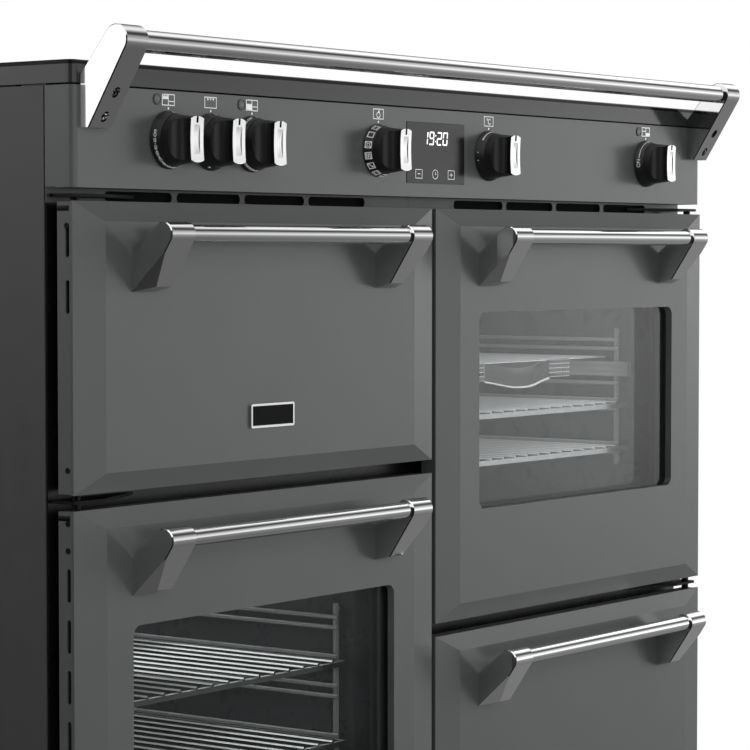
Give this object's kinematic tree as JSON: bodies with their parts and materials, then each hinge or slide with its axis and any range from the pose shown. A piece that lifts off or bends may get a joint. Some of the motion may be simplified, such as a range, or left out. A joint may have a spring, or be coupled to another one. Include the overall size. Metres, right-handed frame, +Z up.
{
  "type": "induction range cooker",
  "caption": "Freestanding range cooker with side-hung oven doors, a fascia of knobs with a display, a glass induction hob and a hand rail across the front.",
  "frame": {"origin": "On the floor under the middle of the cooker's box, between the hand rail's front and the back.", "axes": "+X to the right as seen from the front, +Y to the back, +Z up."},
  "size_m": [1.1, 0.6496, 0.9345],
  "materials": {
    "anthracite_paint": "satin anthracite paint",
    "side_panel_paint": "satin dark grey paint",
    "black_enamel": "black enamel",
    "grey_enamel": "dark grey vitreous enamel",
    "liner_paint": "satin dark grey paint",
    "black_steel": "black phosphated steel",
    "polished_steel": "polished steel",
    "zinc_plated_steel": "zinc-plated sheet steel",
    "dark_glass": "tinted oven glass",
    "hob_ceramic": "black ceramic glass",
    "display_glass": "black display glass",
    "amber_lens": "amber lens",
    "knob_plastic": "black moulded plastic",
    "dark_plastic": "black moulded plastic",
    "seal_rubber": "woven oven seal",
    "element_sheath": "dull steel sheath",
    "coil_copper": "enamelled copper winding",
    "badge_metal": "bright rim, black field"
  },
  "bodies": {
    "body": {"side_panels": "side_panel_paint", "back_panel": "zinc_plated_steel", "base_tray": "zinc_plated_steel", "plinth": "black_enamel", "front_frame": "black_enamel", "levelling_feet": "dark_plastic", "terminal_box": "dark_plastic", "hinge_brackets": "black_steel", "door_seals": "seal_rubber", "shelf_ladders": "polished_steel", "fan_covers": "grey_enamel", "fan_motors": "zinc_plated_steel", "heating_elements": "element_sheath", "hob_frame": "anthracite_paint", "hob_glass": "hob_ceramic", "hob_tray": "zinc_plated_steel", "induction_coils": "coil_copper", "fascia_panel": "anthracite_paint", "display_window": "display_glass", "indicator_lenses": "amber_lens", "control_switches": "dark_plastic", "rail_bar": "polished_steel", "rail_brackets": "polished_steel", "grill_cavity": "grey_enamel", "main_cavity": "grey_enamel", "multi_cavity": "grey_enamel", "slow_cavity": "grey_enamel"},
    "grill_door": {"grill_door_panel": "anthracite_paint", "grill_door_liner": "liner_paint", "grill_door_handle": "polished_steel", "badge_plate": "badge_metal"},
    "main_door": {"main_door_panel": "anthracite_paint", "main_door_liner": "liner_paint", "main_door_handle": "polished_steel", "main_door_glass": "dark_glass"},
    "multi_door": {"multi_door_panel": "anthracite_paint", "multi_door_liner": "liner_paint", "multi_door_handle": "polished_steel", "multi_door_glass": "dark_glass"},
    "slow_door": {"slow_door_panel": "anthracite_paint", "slow_door_liner": "liner_paint", "slow_door_handle": "polished_steel"},
    "knob_1": {"knob_1_body": "knob_plastic", "knob_1_grip": "polished_steel"},
    "knob_2": {"knob_2_body": "knob_plastic", "knob_2_grip": "polished_steel"},
    "knob_3": {"knob_3_body": "knob_plastic", "knob_3_grip": "polished_steel"},
    "knob_4": {"knob_4_body": "knob_plastic", "knob_4_grip": "polished_steel"},
    "knob_5": {"knob_5_body": "knob_plastic", "knob_5_grip": "polished_steel"},
    "knob_6": {"knob_6_body": "knob_plastic", "knob_6_grip": "polished_steel"},
    "main_fan": {"main_fan": "zinc_plated_steel"},
    "multi_fan": {"multi_fan": "zinc_plated_steel"},
    "main_upper_shelf": {"main_upper_shelf": "polished_steel"},
    "main_lower_shelf": {"main_lower_shelf": "polished_steel"},
    "multi_upper_shelf": {"multi_upper_shelf": "polished_steel"},
    "multi_lower_shelf": {"multi_lower_shelf": "polished_steel"}
  },
  "joints": [
    {"name": "grill_door_hinge", "type": "hinge", "parent": "body", "child": "grill_door", "pos_m": [-0.536, -0.26025, 0.65], "axis": [0, 0, -1], "range_deg": [0, 105]},
    {"name": "main_door_hinge", "type": "hinge", "parent": "body", "child": "main_door", "pos_m": [-0.536, -0.26025, 0.2885], "axis": [0, 0, -1], "range_deg": [0, 105]},
    {"name": "multi_door_hinge", "type": "hinge", "parent": "body", "child": "multi_door", "pos_m": [0.536, -0.26025, 0.5635], "axis": [0, 0, 1], "range_deg": [0, 105]},
    {"name": "slow_door_hinge", "type": "hinge", "parent": "body", "child": "slow_door", "pos_m": [0.536, -0.26025, 0.202], "axis": [0, 0, 1], "range_deg": [0, 105]},
    {"name": "knob_1_turn", "type": "hinge", "parent": "body", "child": "knob_1", "pos_m": [-0.4205, -0.27125, 0.8377], "axis": [0, 1, 0], "range_deg": [0, 270]},
    {"name": "knob_2_turn", "type": "hinge", "parent": "body", "child": "knob_2", "pos_m": [-0.3604, -0.27125, 0.8377], "axis": [0, 1, 0], "range_deg": [0, 270]},
    {"name": "knob_3_turn", "type": "hinge", "parent": "body", "child": "knob_3", "pos_m": [-0.2993, -0.27125, 0.8377], "axis": [0, 1, 0], "range_deg": [0, 270]},
    {"name": "knob_4_turn", "type": "hinge", "parent": "body", "child": "knob_4", "pos_m": [-0.097, -0.27125, 0.8377], "axis": [0, 1, 0], "range_deg": [0, 300]},
    {"name": "knob_5_turn", "type": "hinge", "parent": "body", "child": "knob_5", "pos_m": [0.1006, -0.27125, 0.8377], "axis": [0, 1, 0], "range_deg": [0, 270]},
    {"name": "knob_6_turn", "type": "hinge", "parent": "body", "child": "knob_6", "pos_m": [0.4242, -0.27125, 0.8377], "axis": [0, 1, 0], "range_deg": [0, 270]},
    {"name": "main_fan_spin", "type": "hinge", "parent": "body", "child": "main_fan", "pos_m": [-0.27675, 0.19435, 0.2885], "axis": [0, -1, 0], "continuous": true},
    {"name": "multi_fan_spin", "type": "hinge", "parent": "body", "child": "multi_fan", "pos_m": [0.27675, 0.19435, 0.5635], "axis": [0, -1, 0], "continuous": true},
    {"name": "main_upper_shelf_slide", "type": "slide", "parent": "body", "child": "main_upper_shelf", "axis": [0, -1, 0], "range_m": [0, 0.022]},
    {"name": "main_lower_shelf_slide", "type": "slide", "parent": "body", "child": "main_lower_shelf", "axis": [0, -1, 0], "range_m": [0, 0.022]},
    {"name": "multi_upper_shelf_slide", "type": "slide", "parent": "body", "child": "multi_upper_shelf", "axis": [0, -1, 0], "range_m": [0, 0.022]},
    {"name": "multi_lower_shelf_slide", "type": "slide", "parent": "body", "child": "multi_lower_shelf", "axis": [0, -1, 0], "range_m": [0, 0.022]}
  ]
}
